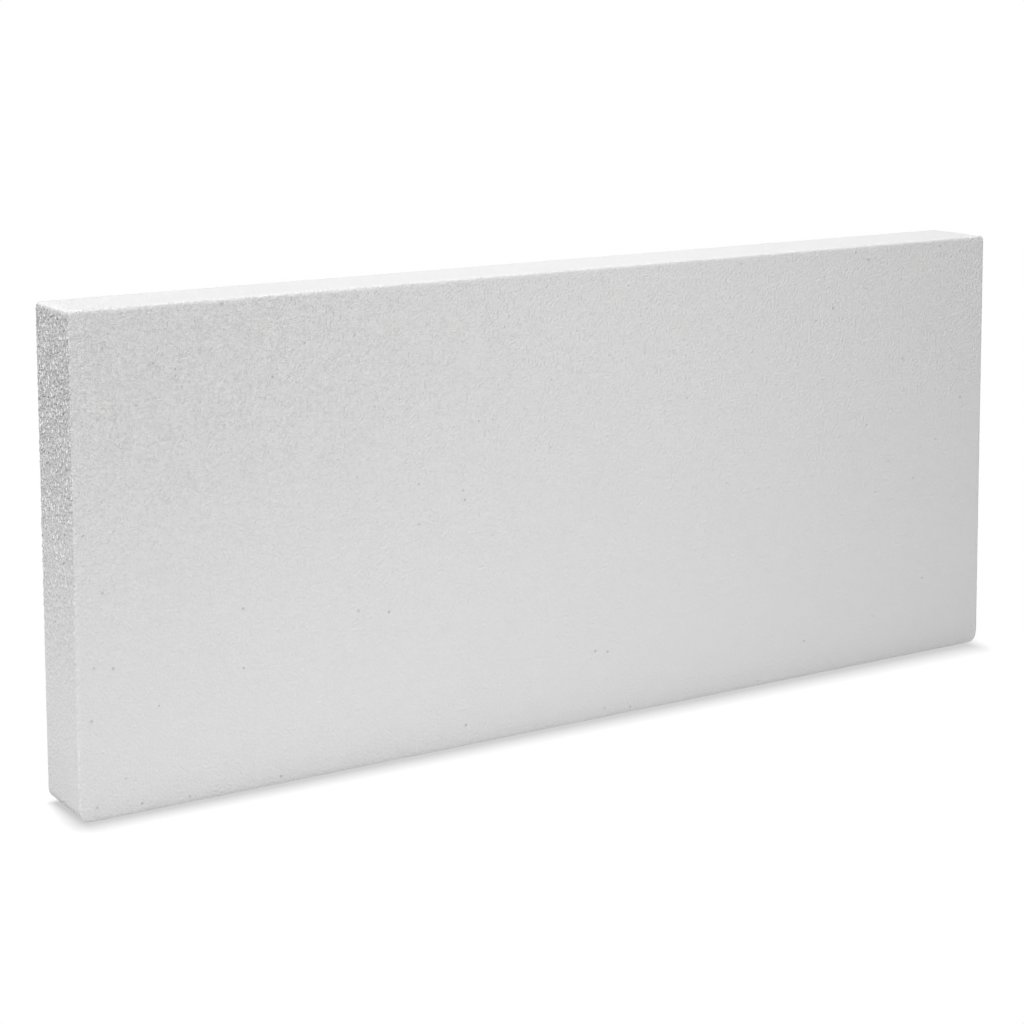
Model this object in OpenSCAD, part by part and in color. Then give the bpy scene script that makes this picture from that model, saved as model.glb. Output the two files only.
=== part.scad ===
/* [Block] */
// Length of the block, left to right
block_len = 700; // [200:10:1200]
// Height of the block as it stands on its long edge
block_h = 300; // [100:5:600]
// Thickness of the block, front to back
block_t = 50; // [20:1:150]

/* [Corners and edges] */
// Radius of the two upper corners, seen from the front
upper_corner_r = 4; // [3.5:0.5:20]
// Radius of the two lower corners, seen from the front
lower_corner_r = 8; // [3.5:0.5:20]
// Radius that softens each edge between a broad face and the rim
edge_r = 1.5; // [0.5:0.25:3]

/* [Hidden] */
foam_colour = [0.96, 0.96, 0.95];
$fn = 96;

// The upright rim at each end is as deep as the larger corner, so that it backs both
end_rim_depth = max(upper_corner_r, lower_corner_r);
// Heights at which the lower corners end and the upper corners begin
lower_z = lower_corner_r;
upper_z = block_h - upper_corner_r;

// Section through the rim: outward along +X, with both of its outer edges softened
module rim_section(depth) {
    flat_t = block_t - 2 * edge_r;
    translate([0, -flat_t / 2])
        square([depth, flat_t]);
    translate([0, -block_t / 2])
        square([depth - edge_r, block_t]);
    for (side = [-1, 1])
        translate([depth - edge_r, side * flat_t / 2])
            circle(r = edge_r);
}

// Quarter turn of the rim round a corner, from +X to +Z about the corner's centre
module corner(radius) {
    rotate([90, 0, 0])
        rotate_extrude(angle = 90)
            rim_section(radius);
}

// Straight rim along one long edge, outward along +Z and centred on X
module long_rim(radius) {
    run = block_len - 2 * radius;
    translate([run / 2, 0, 0])
        rotate([0, -90, 0])
            linear_extrude(height = run)
                rim_section(radius);
}

// Upright rim at the right-hand end, between its lower and upper corners
module end_rim() {
    translate([block_len / 2 - end_rim_depth, 0, lower_z])
        linear_extrude(height = upper_z - lower_z)
            rim_section(end_rim_depth);
}

// Solid middle that the rim closes round
module core() {
    core_len = block_len - 2 * end_rim_depth;
    translate([-core_len / 2, -block_t / 2, lower_z])
        cube([core_len, block_t, upper_z - lower_z]);
}

// One piece of expanded bead foam, standing on its long edge
module foam_block() {
    color(foam_colour) {
        core();
        translate([0, 0, upper_z])
            long_rim(upper_corner_r);
        translate([0, 0, lower_z])
            mirror([0, 0, 1])
                long_rim(lower_corner_r);
        for (end = [0, 1])
            mirror([end, 0, 0]) {
                end_rim();
                translate([block_len / 2 - upper_corner_r, 0, upper_z])
                    corner(upper_corner_r);
                translate([block_len / 2 - lower_corner_r, 0, lower_z])
                    mirror([0, 0, 1])
                        corner(lower_corner_r);
            }
    }
}

foam_block();
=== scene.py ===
"""A white block of expanded bead foam on its long edge, on a white studio floor."""
import math

import bpy
import numpy as np
from mathutils import Matrix, Vector, geometry, noise


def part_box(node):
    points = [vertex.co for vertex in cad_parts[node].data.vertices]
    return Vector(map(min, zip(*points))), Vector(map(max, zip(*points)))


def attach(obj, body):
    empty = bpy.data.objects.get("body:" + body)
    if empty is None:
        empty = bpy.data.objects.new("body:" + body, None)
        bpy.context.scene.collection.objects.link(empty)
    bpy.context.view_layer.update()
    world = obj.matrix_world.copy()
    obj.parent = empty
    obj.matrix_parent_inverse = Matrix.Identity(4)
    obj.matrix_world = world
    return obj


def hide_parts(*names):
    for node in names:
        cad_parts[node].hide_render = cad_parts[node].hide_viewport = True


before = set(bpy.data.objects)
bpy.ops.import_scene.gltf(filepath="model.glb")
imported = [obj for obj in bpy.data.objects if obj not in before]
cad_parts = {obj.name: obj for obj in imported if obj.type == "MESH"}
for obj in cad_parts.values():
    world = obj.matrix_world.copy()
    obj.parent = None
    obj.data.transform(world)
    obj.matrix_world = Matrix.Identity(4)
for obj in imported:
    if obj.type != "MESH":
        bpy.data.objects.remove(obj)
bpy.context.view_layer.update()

MM = 0.001

# The block's size, from the frame, in millimetres
LOW, HIGH = (np.array(corner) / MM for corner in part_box("foam_block"))
LENGTH, THICKNESS, HEIGHT = HIGH - LOW

# Its rounding, in millimetres, as the solid has it, but for the foot's edges, which look crisper.
# An edge turns crisp as the outline comes to face down, from the first number to the second.
UPPER_CORNER_R = 4.0
LOWER_CORNER_R = 8.0
EDGE_R = 1.5
FOOT_EDGE_R = 0.3
FOOT_FROM, FOOT_FULL = 0.2, 0.9

# How far apart the mesh's points are, in millimetres: close on the ends, wide on the top and underside
END_STEP = 0.68
TOP_STEP = 4.0
BOTTOM_STEP = 6.0
CORNER_STEP = 0.7
CORNER_LEAST_TURNS = 3
EDGE_STEPS = 4
ACROSS_STEP = 0.68
COARSE_EVERY = 4

# Rings of points inside a broad face: the first gap, its growth, the gap of the even middle, how
# far a ring's corners are pulled in as a share of what is left of the corner radius, and how near
# two points count as one
FIRST_RING, RING_GROWTH, LAST_RING = 1.0, 1.3, 14.0
RING_CORNER = 0.3
MERGE = 1e-5

# The fused beads: their size in millimetres, and the faint crease between them on the skin.
# A crease is as wide as this share of a bead.
BEAD = 3.0
CREASE_WIDTH = 0.3
SKIN_CREASE = 0.04

# The ends, where the beads are torn open, in millimetres: the least and greatest depth, the crease
# between beads, how unevenly deep beads lie, and the depth and tilt of the beads that are cut flat.
END_LEAST, END_DEEPEST = 0.1, 2.4
END_CREASE = 0.2
END_RECESS = 0.3
CUT_DEPTH, CUT_TILT = 0.4, 0.45
# Whole beads stand out as balls, some beads are cut flat, and a few are missing
BALL_R, BALL_DEPTH = 1.9, 0.5
CUT_SHARE, MISSING_SHARE, MISSING_DEPTH = 0.45, 0.02, 1.2
GRAIN, GRAIN_DEPTH = 1.5, 0.4
# What turns a bead's place into a number that looks random
HASH_RATES, HASH_SCALE = np.array([12.9898, 78.233, 37.719]), 43758.5453
# The ends are fully rough above one share of the height, and keep only the foot's share below the other
# The painted shade of the torn ends fades towards the foot with this roughness too
FOOT_SHARE = 0.08
SMOOTH_BELOW, ROUGH_ABOVE = 0.1, 0.9
# The torn zone begins so many millimetres in from an end's plane and is full at the second number,
# along a ragged line, and it fades as the rim turns away from the end
END_FROM, END_FULL = 1.3, 0.3
RAGGED_SIZE, END_RAGGED = 4.0, 0.6
TURNED_FROM, TURNED_FULL, TURNED_RAGGED = 0.35, 0.8, 0.25

# The skin's relief, in millimetres: seams, domed beads and a fine unevenness. The seams' pattern is
# bent by a slow noise.
BEND_RATE, BEND = 0.25, 1.2
SEAM_WIDTH, SKIN_SEAM = 0.22, 0.05
SKIN_DOME = 0.12
FINE_RATE, FINE_ROUGHNESS, SKIN_FINE = 0.6, 0.4, 2.85
# What is left of the relief at the foot, at the top edge and to the right. It fades from the left
# end to a share of the length right of the middle, grows upwards from a share of the height, and
# fades at the top edge between two distances from the top, in edge radii.
SKIN_FOOT, SKIN_TOP, SKIN_RIGHT = 0.3, 0.5, 0.5
RIGHT_FULL, FOOT_UP_TO = 1 / 6, 0.1
TOP_EDGE_FROM, TOP_EDGE_FULL = 2.5, 0.5

# Pinholes, in millimetres, greyed as painted shade: one place to each spacing, of which those above a chance have a
# hole.
# There are more of them low down. A hole's floor is flat over a share of its radius.
HOLE_SPACING, HOLE_RADIUS, HOLE_DEPTH = 11.0, 1.0, 0.6
HOLE_CHANCE, HOLE_FLOOR, HOLE_LEAST = 0.35, 0.45, 0.0005
HOLES_BELOW, HOLES_MORE = 15.0, 0.4

# The pits that stand out on the front, dug into the relief and greyed as painted shade, in millimetres: along, up and
# radius
FRONT_PITS = [(-329, 277, 0.8), (-284, 261, 0.7), (-284, 257, 0.7), (-327, 89, 1.0), (-339, 91, 0.7),
              (-311, 5, 0.9), (-339, 8, 0.8), (210, 258, 1.1), (195, 250, 0.9)]

# The fine relief of the torn ends, in millimetres: cell walls and a grain, with its rate per millimetre
WALL, TORN_WALL = 1.3, 0.3
TORN_RATE, TORN_ROUGHNESS, TORN_GRAIN = 1.1, 0.6, 0.5

# The bright specks of the torn ends, raised in the relief and painted whiter than the foam as a painted
# highlight: their spacing in millimetres and how much taller than wide they are, how many are bright (above 1,
# all are to some degree), their height in millimetres, where their core ends and their rim ends as shares of
# the spacing, and how strongly the painted highlight shows
SPECK, SPECK_STRETCH, SPECK_SHARE, SPECK_HEIGHT = 1.9, 1.8, 1.3, 1.0
SPECK_CORE, SPECK_RIM, SPECK_STRENGTH = 0.25, 0.55, 1.4

# The foam's own white, then painted colours: a painted shade in the torn ends' open cells, a painted highlight on
# their specks, a painted shade in the pinholes, and how soon the painted torn shade sets in
FOAM_WHITE = (0.88, 0.88, 0.88, 1)
TORN_PAINTED_SHADE = (0.63, 0.63, 0.63, 1)
SPECK_HIGHLIGHT_WHITE = (0.98, 0.98, 0.98, 1)
PINHOLE_SHADE_GREY = (0.5, 0.5, 0.5, 1)
SHADE_CURVE = 0.28
HOLE_SHADE = 0.35
FOAM_ROUGHNESS, FOAM_SHINE = 0.75, 0.2

# The lamps, in metres and watts: name, place, what it faces, size and power
LAMPS = [
    ("overhead", (0.0, -0.15, 1.5), (0.0, -0.15, 0.0), (1.6, 0.15), 6.4),
    ("overhead right", (0.45, -0.15, 1.5), (0.45, -0.15, 0.0), (1.1, 0.15), 5.5),
    ("left", (-1.8, 0.0, 0.9), (-0.35, 0.0, 0.15), (1.0, 1.0), 11.0),
    ("high left", (-1.3, 0.0, 1.3), (-0.35, 0.0, 0.1), (0.4, 0.6), 7.5),
    ("front left", (-1.0, -2.2, 0.8), (-0.1, 0.0, 0.15), (1.0, 1.0), 7.8),
    ("front", (-0.1, -1.0, 0.38), (-0.1, 0.0, 0.15), (0.7, 0.4), 2.85),
    ("back right", (1.4, 1.8, 0.6), (0.1, 0.0, 0.15), (1.2, 1.0), 7.0),
]
WORLD_STRENGTH = 0.05
PURE_WHITE = (1, 1, 1, 1)

# The floor, in metres: half its side, how much light it throws back, how much darker its colour is
# painted round the block's foot as a painted shade, and how much of the light on it the camera sees there
FLOOR_HALF = 6.0
FLOOR_BOUNCE, FOOT_PAINTED_SHADE = 0.71, 0.28
FLOOR_SHOWN = 0.12

# The painted shadow round the block's foot, as the camera sees it: its glow at the foot, far away
# and at least, the curve between, and how far the shadow reaches on each side. It reaches further
# along the front to the right, and further at the left towards the front. A start above 0 means
# that the shadow is part faded where that side's face stands.
GLOW_AT_FOOT, GLOW_AWAY, GLOW_LEAST, GLOW_CURVE = 0.41, 1.0, 0.51, 1.6
FRONT_REACH, FRONT_SPREAD = 0.0375, 0.018
LEFT_REACH, LEFT_SPREAD, LEFT_START = 0.0148, 0.34, 0.25
RIGHT_REACH, RIGHT_START = 0.024, 0.64
BACK_REACH, BACK_START = 0.010, 0.85

# The camera, in metres, degrees and millimetres
CAMERA_PLACE = (-0.8345, -1.2688, 0.4830)
CAMERA_TURN, CAMERA_DOWN, CAMERA_ROLL = -32.153, 6.651, -0.273
SENSOR, LENS, SHIFT = 36.0, 82.48, -0.25


def smooth_step(low, high, value):
    """0 below low, 1 above high, and an even curve between."""
    t = np.clip((value - low) / (high - low), 0.0, 1.0)
    return t * t * (3.0 - 2.0 * t)


def outline():
    """Points round the block as seen from the front, counter-clockwise, their outward normals, and which are fine:
    those at the corners and on the ends."""
    half = LENGTH / 2
    corners = [
        (half - LOWER_CORNER_R, LOWER_CORNER_R, LOWER_CORNER_R, -90),
        (half - UPPER_CORNER_R, HEIGHT - UPPER_CORNER_R, UPPER_CORNER_R, 0),
        (-half + UPPER_CORNER_R, HEIGHT - UPPER_CORNER_R, UPPER_CORNER_R, 90),
        (-half + LOWER_CORNER_R, LOWER_CORNER_R, LOWER_CORNER_R, 180),
    ]
    side_steps = [END_STEP, TOP_STEP, END_STEP, BOTTOM_STEP]
    points, normals, fine = [], [], []
    for index, (cx, cz, radius, start) in enumerate(corners):
        turns = max(CORNER_LEAST_TURNS, round(radius * math.pi / 2 / CORNER_STEP))
        for angle in np.radians(start + np.linspace(0, 90, turns + 1)):
            normal = np.array([math.cos(angle), math.sin(angle)])
            points.append(np.array([cx, cz]) + radius * normal)
            normals.append(normal)
            fine.append(True)
        next_cx, next_cz, next_radius, next_start = corners[(index + 1) % 4]
        angle = math.radians(next_start)
        normal = np.array([math.cos(angle), math.sin(angle)])
        here, there = points[-1], np.array([next_cx, next_cz]) + next_radius * normal
        count = round(np.linalg.norm(there - here) / side_steps[index])
        for share in np.linspace(0, 1, count + 1)[1:-1]:
            points.append(here + share * (there - here))
            normals.append(normal)
            fine.append(side_steps[index] == END_STEP)
    return np.array(points), np.array(normals), fine


def section():
    """The rolled edge's angles, from the broad face to the rim, and the places across the rim's flat."""
    turn = np.linspace(0, math.pi / 2, EDGE_STEPS + 1)
    flat = THICKNESS - 2 * EDGE_R
    middle = np.linspace(-flat / 2, flat / 2, round(flat / ACROSS_STEP) + 1)[1:-1]
    return turn, middle


def inner_points():
    """Points inside a broad face, close together along its border and far apart in the middle."""
    points, inset, gap = [], EDGE_R, FIRST_RING
    while True:
        inset += gap
        half_x, low_z, high_z = LENGTH / 2 - inset, inset, HEIGHT - inset
        if gap >= LAST_RING or high_z - low_z < 2 * gap:
            break
        pulled = max(LOWER_CORNER_R - inset, 0) * RING_CORNER
        xs = np.linspace(-half_x + pulled, half_x - pulled, round(2 * half_x / gap) + 1)
        zs = np.linspace(low_z + pulled, high_z - pulled, round((high_z - low_z) / gap) + 1)
        points += [(x, z) for x in xs for z in (low_z, high_z)]
        points += [(x, z) for x in (-half_x, half_x) for z in zs[1:-1]]
        gap *= RING_GROWTH
    zs = np.linspace(low_z, high_z, round((high_z - low_z) / LAST_RING) + 1)
    for x in np.linspace(-half_x, half_x, round(2 * half_x / LAST_RING) + 1):
        points += [(x, z) for z in zs]
    return np.array(points)


def fan(row, pair):
    """Triangles between a row of points and the two points that stand opposite its ends."""
    half = len(row) // 2
    first = [(row[a], row[a + 1], pair[0]) for a in range(half)]
    last = [(row[a], row[a + 1], pair[1]) for a in range(half, len(row) - 1)]
    return [*first, (row[half], pair[1], pair[0]), *last]


def rim_points(ring, ring_normals):
    """The rim's points and normals, by station round the block and column from front to back."""
    turn, middle = section()
    foot = smooth_step(FOOT_FROM, FOOT_FULL, -ring_normals[:, 1])[:, None]
    radius = EDGE_R + (FOOT_EDGE_R - EDGE_R) * foot
    inset, across = radius * (1 - np.sin(turn)), THICKNESS / 2 - radius * (1 - np.cos(turn))
    level = np.zeros((len(ring), len(middle)))
    inset = np.hstack([inset, level, inset[:, ::-1]])
    across = np.hstack([-across, level + middle, across[:, ::-1]])
    outward = np.concatenate([np.sin(turn), np.ones(len(middle)), np.sin(turn)[::-1]])
    along = np.concatenate([-np.cos(turn), np.zeros(len(middle)), np.cos(turn)[::-1]])
    flat_xz = ring[:, None, :] - ring_normals[:, None, :] * inset[:, :, None]
    points = np.stack([flat_xz[..., 0], across, flat_xz[..., 1]], -1)
    out = ring_normals[:, None, :] * outward[None, :, None]
    normals = np.stack([out[..., 0], np.broadcast_to(along, inset.shape), out[..., 1]], -1)
    return points, normals


def rim_faces(fine, columns):
    """The rim's faces: small squares at the ends, long ones on top and below, and fans between the two."""
    stations, last = len(fine), columns - EDGE_STEPS - 1
    coarse = [*range(EDGE_STEPS), *range(EDGE_STEPS, last, COARSE_EVERY), *range(last, columns)]
    faces = []
    for i in range(stations):
        j = (i + 1) % stations
        here, there = i * columns, j * columns
        if fine[i] and fine[j]:
            faces += [(here + k, here + k + 1, there + k + 1, there + k) for k in range(columns - 1)]
            continue
        for k, m in zip(coarse, coarse[1:]):
            near, far = [here + k, here + m], [there + k, there + m]
            if fine[i]:
                faces += fan(range(near[0], near[1] + 1), far)
            elif fine[j]:
                faces += [face[::-1] for face in fan(range(far[0], far[1] + 1), near)]
            else:
                faces.append((near[0], near[1], far[1], far[0]))
    return faces


def closed_shell():
    """The block's smooth shell: points, normals and faces, before the beads shape it."""
    ring, ring_normals, fine = outline()
    points, normals = rim_points(ring, ring_normals)
    stations, columns = points.shape[:2]
    points, normals = points.reshape(-1, 3), normals.reshape(-1, 3)
    faces = rim_faces(fine, columns)
    inside = inner_points()
    edges = [(i, (i + 1) % stations) for i in range(stations)]
    for column, side in ((0, -1.0), (columns - 1, 1.0)):
        border = np.arange(stations) * columns + column
        flat = np.vstack([points[border][:, [0, 2]], inside])
        _, _, triangles, sources, _, _ = geometry.delaunay_2d_cdt([Vector(p) for p in flat], edges, [], 1, MERGE)
        first = len(points)
        index = [border[s[0]] if s[0] < stations else first + s[0] - stations for s in sources]
        level = np.full(len(inside), side * THICKNESS / 2)
        points = np.vstack([points, np.column_stack([inside[:, 0], level, inside[:, 1]])])
        normals = np.vstack([normals, np.tile((0.0, side, 0.0), (len(inside), 1))])
        for triangle in triangles:
            corners = [index[v] for v in triangle]
            faces.append(corners if side < 0 else corners[::-1])
    used = np.unique([v for face in faces for v in face])
    place = dict(zip(used.tolist(), range(len(used))))
    return points[used], normals[used], [[place[v] for v in face] for face in faces]


def random_share(places, seed):
    """The same number between 0 and 1 for the same place."""
    wave = np.sin(places @ HASH_RATES + seed) * HASH_SCALE
    return wave - np.floor(wave)


def bead_relief(points, normals):
    """How deep the beads leave each point of the shell, in millimetres, and how torn it is there."""
    near, next_near = np.empty(len(points)), np.empty(len(points))
    centre = np.empty((len(points), 3))
    ragged, grain = np.empty(len(points)), np.empty(len(points))
    for index, point in enumerate(points):
        distances, centres = noise.voronoi(Vector(point) / BEAD)
        near[index], next_near[index], centre[index] = distances[0], distances[1], centres[0]
        ragged[index] = noise.noise(Vector(point) / RAGGED_SIZE)
        grain[index] = noise.noise(Vector(point) / GRAIN)
    crease = 1.0 - smooth_step(0.0, CREASE_WIDTH, next_near - near)

    # Where the block is torn: at its ends, and more the higher up
    inward = LENGTH / 2 - np.abs(points[:, 0]) + END_RAGGED * ragged
    torn = 1.0 - smooth_step(END_FULL, END_FROM, inward)
    torn *= smooth_step(TURNED_FROM, TURNED_FULL, np.abs(normals[:, 0]) + TURNED_RAGGED * ragged)
    roughness = FOOT_SHARE + (1 - FOOT_SHARE) * smooth_step(SMOOTH_BELOW, ROUGH_ABOVE, points[:, 2] / HEIGHT)

    # Each bead there is whole, cut flat or missing
    ball = BALL_R - np.sqrt(np.maximum(BALL_R ** 2 - (near * BEAD) ** 2, 0.0))
    tilt = np.stack([random_share(centre, 1.0), random_share(centre, 2.0)], -1) * 2 - 1
    facet = CUT_DEPTH + CUT_TILT * (tilt * (points / BEAD - centre)[:, 1:] * BEAD).sum(-1)
    kind = random_share(centre, 3.0)
    whole_or_missing = np.where(kind > 1 - MISSING_SHARE, MISSING_DEPTH - ball, BALL_DEPTH * ball)
    shape = np.where(kind < CUT_SHARE, facet, whole_or_missing)
    recess = random_share(centre, 0.0) ** 2 * END_RECESS
    end_depth = END_LEAST + recess + shape + END_CREASE * crease + GRAIN_DEPTH * grain
    end_depth = np.clip(end_depth, 0.0, END_DEEPEST)
    return torn * roughness * end_depth + (1 - torn) * SKIN_CREASE * crease, torn * roughness


def build_block():
    """The foam block as one mesh, in the frame's place."""
    points, normals, faces = closed_shell()
    depth, torn = bead_relief(points, normals)
    mesh = bpy.data.meshes.new("foam")
    mesh.from_pydata(((points - normals * depth[:, None]) * MM).tolist(), [], faces)
    mesh.attributes.new("torn", "FLOAT", "POINT").data.foreach_set("value", torn)
    mesh.polygons.foreach_set("use_smooth", [True] * len(mesh.polygons))
    mesh.update()
    block = bpy.data.objects.new("foam", mesh)
    bpy.context.collection.objects.link(block)
    return block


def new_material(name):
    """An empty node material, with its tree and its output."""
    material = bpy.data.materials.new(name)
    material.use_nodes = True
    material.node_tree.nodes.clear()
    return material, material.node_tree, material.node_tree.nodes.new("ShaderNodeOutputMaterial")


def node(tree, kind, inputs=None, **settings):
    """One shader node, with its settings and its inputs: values, or sockets to link from."""
    made = tree.nodes.new("ShaderNode" + kind)
    for name, value in settings.items():
        setattr(made, name, value)
    for name, value in (inputs or {}).items():
        if isinstance(value, bpy.types.NodeSocket):
            tree.links.new(value, made.inputs[name])
        else:
            made.inputs[name].default_value = value
    return made


def math_node(tree, operation, *values):
    """One Math node's result, of values or sockets."""
    return node(tree, "Math", dict(enumerate(values)), operation=operation).outputs[0]


def ramp(tree, value, low, high, start=0.0, end=1.0):
    """start below low, end above high, and an even curve between."""
    return node(tree, "MapRange", {"Value": value, "From Min": low, "From Max": high, "To Min": start, "To Max": end},
                interpolation_type="SMOOTHSTEP").outputs[0]


def blend(tree, factor, first, second):
    """A colour between two, or between a colour and a socket's."""
    return node(tree, "Mix", {"Factor": factor, 6: first, 7: second}, data_type="RGBA").outputs[2]


def seen(tree):
    """1 for what the camera sees, also by way of a mirror or through glass."""
    path = node(tree, "LightPath").outputs
    beyond = math_node(tree, "MAXIMUM", path["Is Glossy Ray"], path["Is Transmission Ray"])
    return math_node(tree, "MAXIMUM", path["Is Camera Ray"], beyond)


def skin_height(tree, place, across, high):
    """The skin: fused beads with shallow seams between them, and a fine unevenness, in millimetres."""
    bent = node(tree, "TexNoise", {"Vector": place, "Scale": BEND_RATE, "Detail": 1.0}).outputs["Color"]
    bent = node(tree, "VectorMath", {0: bent, "Scale": BEND}, operation="SCALE").outputs[0]
    bent = node(tree, "VectorMath", {0: place, 1: bent}, operation="ADD").outputs[0]
    beads = {"Vector": bent, "Scale": 1 / BEAD}
    seam = node(tree, "TexVoronoi", beads, feature="DISTANCE_TO_EDGE").outputs["Distance"]
    bead = node(tree, "TexVoronoi", beads, feature="F1").outputs["Distance"]
    fine = node(tree, "TexNoise", {"Vector": place, "Scale": FINE_RATE, "Detail": 1.0,
                                   "Roughness": FINE_ROUGHNESS}).outputs["Fac"]
    skin = math_node(tree, "MULTIPLY", ramp(tree, seam, 0.0, SEAM_WIDTH), SKIN_SEAM)
    skin = math_node(tree, "MULTIPLY_ADD", bead, -SKIN_DOME, skin)
    fine = math_node(tree, "SUBTRACT", fine, 0.5)
    skin = math_node(tree, "MULTIPLY_ADD", fine, SKIN_FINE, skin)
    to_right = ramp(tree, across, -LENGTH / 2, LENGTH * RIGHT_FULL, 1.0, SKIN_RIGHT)
    upward = ramp(tree, high, HEIGHT * FOOT_UP_TO, HEIGHT, SKIN_FOOT, 1.0)
    top_edge = ramp(tree, high, HEIGHT - TOP_EDGE_FROM * EDGE_R, HEIGHT - TOP_EDGE_FULL * EDGE_R, 1.0, SKIN_TOP)
    for share in (to_right, upward, top_edge):
        skin = math_node(tree, "MULTIPLY", skin, share)
    return skin


def pinholes(tree, place, high):
    """How much of a pinhole there is, from 0 to 1: by chance where beads meet badly, and the front's own pits."""
    holes = node(tree, "TexVoronoi", {"Vector": place, "Scale": 1 / HOLE_SPACING}, feature="F1")
    chance = node(tree, "SeparateXYZ", {0: holes.outputs["Color"]}).outputs[0]
    chance = math_node(tree, "ADD", chance, ramp(tree, high, 0.0, HOLES_BELOW, HOLES_MORE, 0.0))
    radius = math_node(tree, "MULTIPLY", ramp(tree, chance, HOLE_CHANCE, 1.0), HOLE_RADIUS / HOLE_SPACING)
    hole = math_node(tree, "DIVIDE", holes.outputs["Distance"], math_node(tree, "ADD", radius, HOLE_LEAST))
    hole = ramp(tree, hole, HOLE_FLOOR, 1.0, 1.0, 0.0)
    for x, z, size in FRONT_PITS:
        pit = (x, -THICKNESS / 2, z)
        away = node(tree, "VectorMath", {0: place, 1: pit}, operation="DISTANCE").outputs["Value"]
        hole = math_node(tree, "MAXIMUM", hole, ramp(tree, away, HOLE_FLOOR * size, size, 1.0, 0.0))
    return hole


def bright_specks(tree, place):
    """How much of a speck there is, from 0 to 1: it raises the relief and carries the painted highlight."""
    upright = node(tree, "VectorMath", {0: place, 1: (1, 1, 1 / SPECK_STRETCH)}, operation="MULTIPLY").outputs[0]
    specks = node(tree, "TexVoronoi", {"Vector": upright, "Scale": 1 / SPECK}, feature="F1")
    speck = node(tree, "SeparateXYZ", {0: specks.outputs["Color"]}).outputs[1]
    speck = ramp(tree, speck, 1 - SPECK_SHARE, 1 - SPECK_SHARE / 2)
    core = ramp(tree, specks.outputs["Distance"], SPECK_CORE, SPECK_RIM, 1.0, 0.0)
    return math_node(tree, "MULTIPLY", speck, core)


def foam_material():
    """Matte white fused beads: shallow cells and pinholes on the skin, torn beads at the ends, with painted shade in
    the torn cells and pinholes and painted highlights on the specks.
    """
    material, tree, output = new_material("bead foam")
    place = node(tree, "TexCoord").outputs["Object"]
    place = node(tree, "VectorMath", {0: place, "Scale": 1 / MM}, operation="SCALE").outputs[0]
    across, _, high = node(tree, "SeparateXYZ", {0: place}).outputs
    torn = node(tree, "Attribute", attribute_name="torn", attribute_type="GEOMETRY").outputs["Fac"]
    hole = pinholes(tree, place, high)
    speck = bright_specks(tree, place)

    # The relief: the skin with its pinholes, and the broken cell walls of the torn ends
    skin = math_node(tree, "MULTIPLY_ADD", hole, -HOLE_DEPTH, skin_height(tree, place, across, high))
    walls = node(tree, "TexVoronoi", {"Vector": place, "Scale": 1 / WALL}, feature="F1").outputs["Distance"]
    grain = node(tree, "TexNoise", {"Vector": place, "Scale": TORN_RATE, "Detail": 2.0,
                                    "Roughness": TORN_ROUGHNESS}).outputs["Fac"]
    open_cells = math_node(tree, "MULTIPLY", walls, -TORN_WALL)
    open_cells = math_node(tree, "MULTIPLY_ADD", grain, TORN_GRAIN, open_cells)
    open_cells = math_node(tree, "MULTIPLY_ADD", speck, SPECK_HEIGHT, open_cells)
    height = math_node(tree, "ADD", math_node(tree, "MULTIPLY", open_cells, torn), skin)
    bump = node(tree, "Bump", {"Height": height, "Distance": MM, "Strength": 1.0})

    # White, with painted light: greyer on the torn ends as a painted shade of their open cells, whiter on their
    # specks as a painted highlight, greyer in the pinholes as a painted shade
    speck_highlight = math_node(tree, "MULTIPLY", speck, math_node(tree, "MULTIPLY", torn, SPECK_STRENGTH))
    torn_painted_shade = math_node(tree, "POWER", torn, SHADE_CURVE)
    painted_ground = blend(tree, torn_painted_shade, FOAM_WHITE, blend(tree, speck_highlight, TORN_PAINTED_SHADE, SPECK_HIGHLIGHT_WHITE))
    colour = blend(tree, math_node(tree, "MULTIPLY", hole, HOLE_SHADE), painted_ground, PINHOLE_SHADE_GREY)
    shader = node(tree, "BsdfPrincipled", {"Base Color": colour, "Roughness": FOAM_ROUGHNESS,
                                           "Specular IOR Level": FOAM_SHINE, "Normal": bump.outputs[0]})
    tree.links.new(shader.outputs[0], output.inputs[0])
    return material


def painted_foot_shadow(tree):
    """The painted shadow round the block's foot: how near a place on the floor is to the block, from 1 at its foot to
    0, and how far away it is, in reaches.
    """
    x, y, _ = node(tree, "SeparateXYZ", {0: node(tree, "TexCoord").outputs["Object"]}).outputs
    half_length, half_thickness = LENGTH / 2 * MM, THICKNESS / 2 * MM
    left_reach = math_node(tree, "MULTIPLY_ADD", y, -LEFT_SPREAD, LEFT_REACH)
    left_reach = math_node(tree, "MAXIMUM", left_reach, BACK_REACH)
    left = math_node(tree, "DIVIDE", math_node(tree, "SUBTRACT", -half_length, x), left_reach)
    left = math_node(tree, "ADD", left, LEFT_START)
    right = math_node(tree, "DIVIDE", math_node(tree, "SUBTRACT", x, half_length), RIGHT_REACH)
    right = math_node(tree, "ADD", right, RIGHT_START)
    beside = math_node(tree, "MAXIMUM", math_node(tree, "MAXIMUM", left, right), 0.0)
    front_reach = math_node(tree, "MULTIPLY_ADD", x, FRONT_SPREAD, FRONT_REACH)
    before = math_node(tree, "DIVIDE", math_node(tree, "SUBTRACT", -half_thickness, y), front_reach)
    behind = math_node(tree, "DIVIDE", math_node(tree, "SUBTRACT", y, half_thickness), BACK_REACH)
    behind = math_node(tree, "ADD", behind, BACK_START)
    across = math_node(tree, "MAXIMUM", math_node(tree, "MAXIMUM", before, behind), 0.0)
    squares = [math_node(tree, "POWER", part, 2.0) for part in (beside, across)]
    away = math_node(tree, "SQRT", math_node(tree, "ADD", *squares))
    near = math_node(tree, "MAXIMUM", math_node(tree, "SUBTRACT", 1.0, away), 0.0)
    return math_node(tree, "POWER", near, GLOW_CURVE), away


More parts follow.
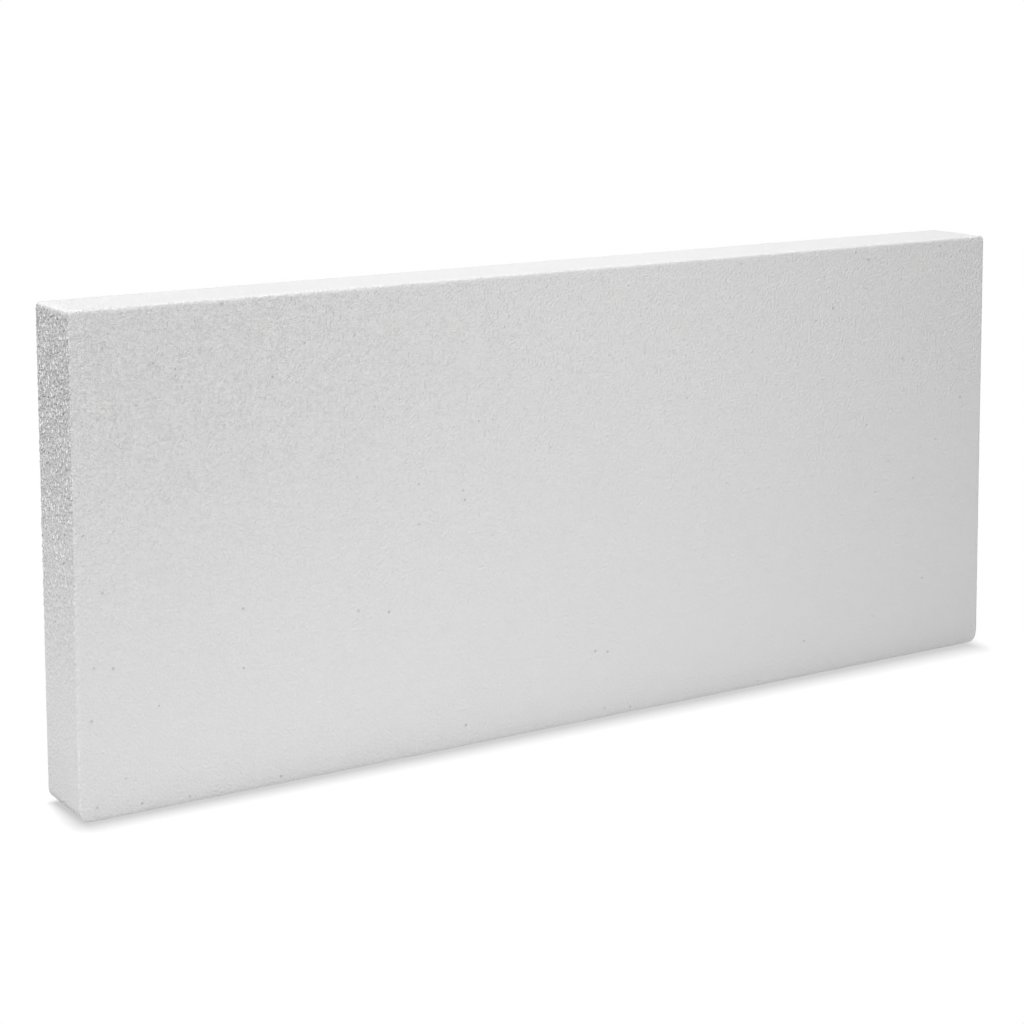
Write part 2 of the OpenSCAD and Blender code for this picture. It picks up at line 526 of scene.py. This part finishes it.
def floor_material():
    """A white floor that bounces light, and that the camera sees as white except in a painted shadow close round the
    block.
    """
    material, tree, output = new_material("studio floor")
    painted_shadow, away = painted_foot_shadow(tree)
    # The light the floor bounces is painted darker near the foot: a painted shade that darkens the block's foot
    bounce = node(tree, "BsdfDiffuse", {"Color": math_node(tree, "MULTIPLY_ADD", painted_shadow, -FOOT_PAINTED_SHADE, FLOOR_BOUNCE)})
    # The glow the camera sees is lowered near the foot: a painted shadow
    strength = math_node(tree, "MULTIPLY_ADD", painted_shadow, GLOW_AT_FOOT - GLOW_AWAY, GLOW_AWAY)
    strength = math_node(tree, "MAXIMUM", strength, GLOW_LEAST)
    glow = node(tree, "Emission", {"Color": PURE_WHITE, "Strength": strength})
    lit = math_node(tree, "MULTIPLY", math_node(tree, "LESS_THAN", away, 1.0), FLOOR_SHOWN)
    lit = node(tree, "BsdfDiffuse", {"Color": lit})
    shown = node(tree, "AddShader", {0: lit.outputs[0], 1: glow.outputs[0]})
    mix = node(tree, "MixShader", {0: seen(tree), 1: bounce.outputs[0], 2: shown.outputs[0]})
    tree.links.new(mix.outputs[0], output.inputs[0])
    return material


def build_floor():
    """The studio floor, a wide square under the block."""
    mesh = bpy.data.meshes.new("floor")
    half = FLOOR_HALF
    mesh.from_pydata([(-half, -half, 0), (half, -half, 0), (half, half, 0), (-half, half, 0)], [], [(0, 1, 2, 3)])
    floor = bpy.data.objects.new("floor", mesh)
    bpy.context.collection.objects.link(floor)
    mesh.materials.append(floor_material())


def build_world():
    """Even grey-white light all round, and pure white behind the block."""
    world = bpy.data.worlds.new("studio")
    bpy.context.scene.world = world
    world.use_nodes = True
    tree = world.node_tree
    tree.nodes.clear()
    output = tree.nodes.new("ShaderNodeOutputWorld")
    light = node(tree, "Background", {"Color": PURE_WHITE, "Strength": WORLD_STRENGTH})
    white = node(tree, "Background", {"Color": PURE_WHITE, "Strength": 1.0})
    mix = node(tree, "MixShader", {0: seen(tree), 1: light.outputs[0], 2: white.outputs[0]})
    tree.links.new(mix.outputs[0], output.inputs[0])


def area_light(name, place, target, size, power):
    """A rectangular softbox at place, facing target, in metres and watts."""
    data = bpy.data.lights.new(name, "AREA")
    data.shape, data.size, data.size_y, data.energy = "RECTANGLE", size[0], size[1], power
    lamp = bpy.data.objects.new(name, data)
    bpy.context.collection.objects.link(lamp)
    lamp.visible_camera = False
    facing = (Vector(place) - Vector(target)).to_track_quat("Z", "Y").to_matrix().to_4x4()
    lamp.matrix_world = Matrix.Translation(place) @ facing


def build_camera():
    """The photograph's viewpoint, from its edge lines: in front, to the left and a little above."""
    data = bpy.data.cameras.new("camera")
    data.sensor_width, data.lens, data.shift_y = SENSOR, LENS, SHIFT
    camera = bpy.data.objects.new("camera", data)
    bpy.context.collection.objects.link(camera)
    turn = Matrix.Rotation(math.radians(CAMERA_TURN), 4, "Z")
    tilt = Matrix.Rotation(math.radians(90 - CAMERA_DOWN), 4, "X")
    roll = Matrix.Rotation(math.radians(CAMERA_ROLL), 4, "Z")
    camera.matrix_world = Matrix.Translation(CAMERA_PLACE) @ turn @ tilt @ roll
    bpy.context.scene.camera = camera


block = build_block()
block.data.materials.append(foam_material())
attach(block, "root")
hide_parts("foam_block")

build_floor()
build_world()
for lamp in LAMPS:
    area_light(*lamp)
build_camera()
bpy.context.scene.view_settings.view_transform = "Standard"
